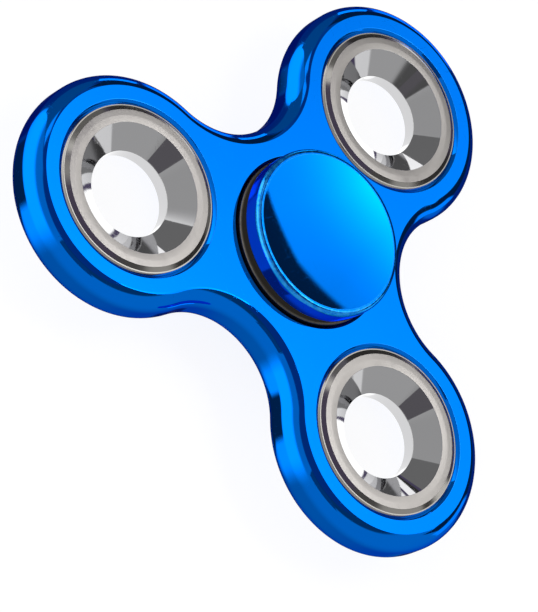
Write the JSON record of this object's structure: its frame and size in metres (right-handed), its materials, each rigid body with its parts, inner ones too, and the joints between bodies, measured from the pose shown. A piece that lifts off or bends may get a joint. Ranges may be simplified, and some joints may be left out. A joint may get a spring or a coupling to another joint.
{
  "type": "fidget spinner",
  "caption": "Three-lobed metal fidget spinner: blue frame with round steel weights in its lobes, turning on a middle ball bearing held between dished finger caps.",
  "frame": {"origin": "middle of the frame's thickness on the spin axis", "axes": "+Z along the spin axis towards the top cap, -Y towards one lobe, +X across the other two"},
  "size_m": [0.0748, 0.0688, 0.0142],
  "materials": {
    "blue_metal": "polished and anodised blue, high gloss",
    "blue_cap_metal": "turned, polished and anodised blue, high gloss",
    "weight_steel": "polished turned steel",
    "bearing_steel": "ground bearing steel",
    "ball_steel": "lapped steel balls",
    "pressed_sheet": "pressed sheet steel",
    "shield_sheet": "pressed sheet steel, fine turned marks",
    "spring_steel": "spring steel wire",
    "screw_steel": "blackened screw steel"
  },
  "bodies": {
    "grip": {"bearing_inner_ring": "bearing_steel", "bottom_cap": "blue_cap_metal", "cap_stud": "screw_steel"},
    "spinner": {"spinner_frame": "blue_metal", "weight_right": "weight_steel", "weight_left": "weight_steel", "weight_front": "weight_steel", "bearing_outer_ring": "bearing_steel", "shield_upper": "shield_sheet", "shield_lower": "shield_sheet", "snap_ring_upper": "spring_steel", "snap_ring_lower": "spring_steel"},
    "ball_cage": {"cage_upper": "pressed_sheet", "cage_lower": "pressed_sheet", "cage_rivets": "pressed_sheet"},
    "top_cap_body": {"top_cap": "blue_cap_metal"},
    "ball_1": {"bearing_ball_1": "ball_steel"},
    "ball_2": {"bearing_ball_2": "ball_steel"},
    "ball_3": {"bearing_ball_3": "ball_steel"},
    "ball_4": {"bearing_ball_4": "ball_steel"},
    "ball_5": {"bearing_ball_5": "ball_steel"},
    "ball_6": {"bearing_ball_6": "ball_steel"},
    "ball_7": {"bearing_ball_7": "ball_steel"}
  },
  "joints": [
    {"name": "spin", "type": "hinge", "parent": "grip", "child": "spinner", "pos_m": [0, 0, 0], "axis": [0, 0, 1], "continuous": true},
    {"name": "cage_turn", "type": "hinge", "parent": "grip", "child": "ball_cage", "pos_m": [0, 0, 0], "axis": [0, 0, 1], "continuous": true},
    {"name": "top_cap_lift", "type": "slide", "parent": "grip", "child": "top_cap_body", "axis": [0, 0, 1], "range_m": [0, 0.012]},
    {"name": "ball_1_roll", "type": "hinge", "parent": "ball_cage", "child": "ball_1", "pos_m": [0.0075, 0, 0], "axis": [0, 0, 1], "continuous": true},
    {"name": "ball_2_roll", "type": "hinge", "parent": "ball_cage", "child": "ball_2", "pos_m": [0.00468, 0.00586, 0], "axis": [0, 0, 1], "continuous": true},
    {"name": "ball_3_roll", "type": "hinge", "parent": "ball_cage", "child": "ball_3", "pos_m": [-0.00167, 0.00731, 0], "axis": [0, 0, 1], "continuous": true},
    {"name": "ball_4_roll", "type": "hinge", "parent": "ball_cage", "child": "ball_4", "pos_m": [-0.00676, 0.00325, 0], "axis": [0, 0, 1], "continuous": true},
    {"name": "ball_5_roll", "type": "hinge", "parent": "ball_cage", "child": "ball_5", "pos_m": [-0.00676, -0.00325, 0], "axis": [0, 0, 1], "continuous": true},
    {"name": "ball_6_roll", "type": "hinge", "parent": "ball_cage", "child": "ball_6", "pos_m": [-0.00167, -0.00731, 0], "axis": [0, 0, 1], "continuous": true},
    {"name": "ball_7_roll", "type": "hinge", "parent": "ball_cage", "child": "ball_7", "pos_m": [0.00468, -0.00586, 0], "axis": [0, 0, 1], "continuous": true}
  ],
  "couplings": [
    {"joint": "cage_turn", "follows": "spin", "ratio": 0.6323},
    {"joint": "ball_1_roll", "follows": "spin", "ratio": 1.7573},
    {"joint": "ball_2_roll", "follows": "spin", "ratio": 1.7573},
    {"joint": "ball_3_roll", "follows": "spin", "ratio": 1.7573},
    {"joint": "ball_4_roll", "follows": "spin", "ratio": 1.7573},
    {"joint": "ball_5_roll", "follows": "spin", "ratio": 1.7573},
    {"joint": "ball_6_roll", "follows": "spin", "ratio": 1.7573},
    {"joint": "ball_7_roll", "follows": "spin", "ratio": 1.7573}
  ]
}
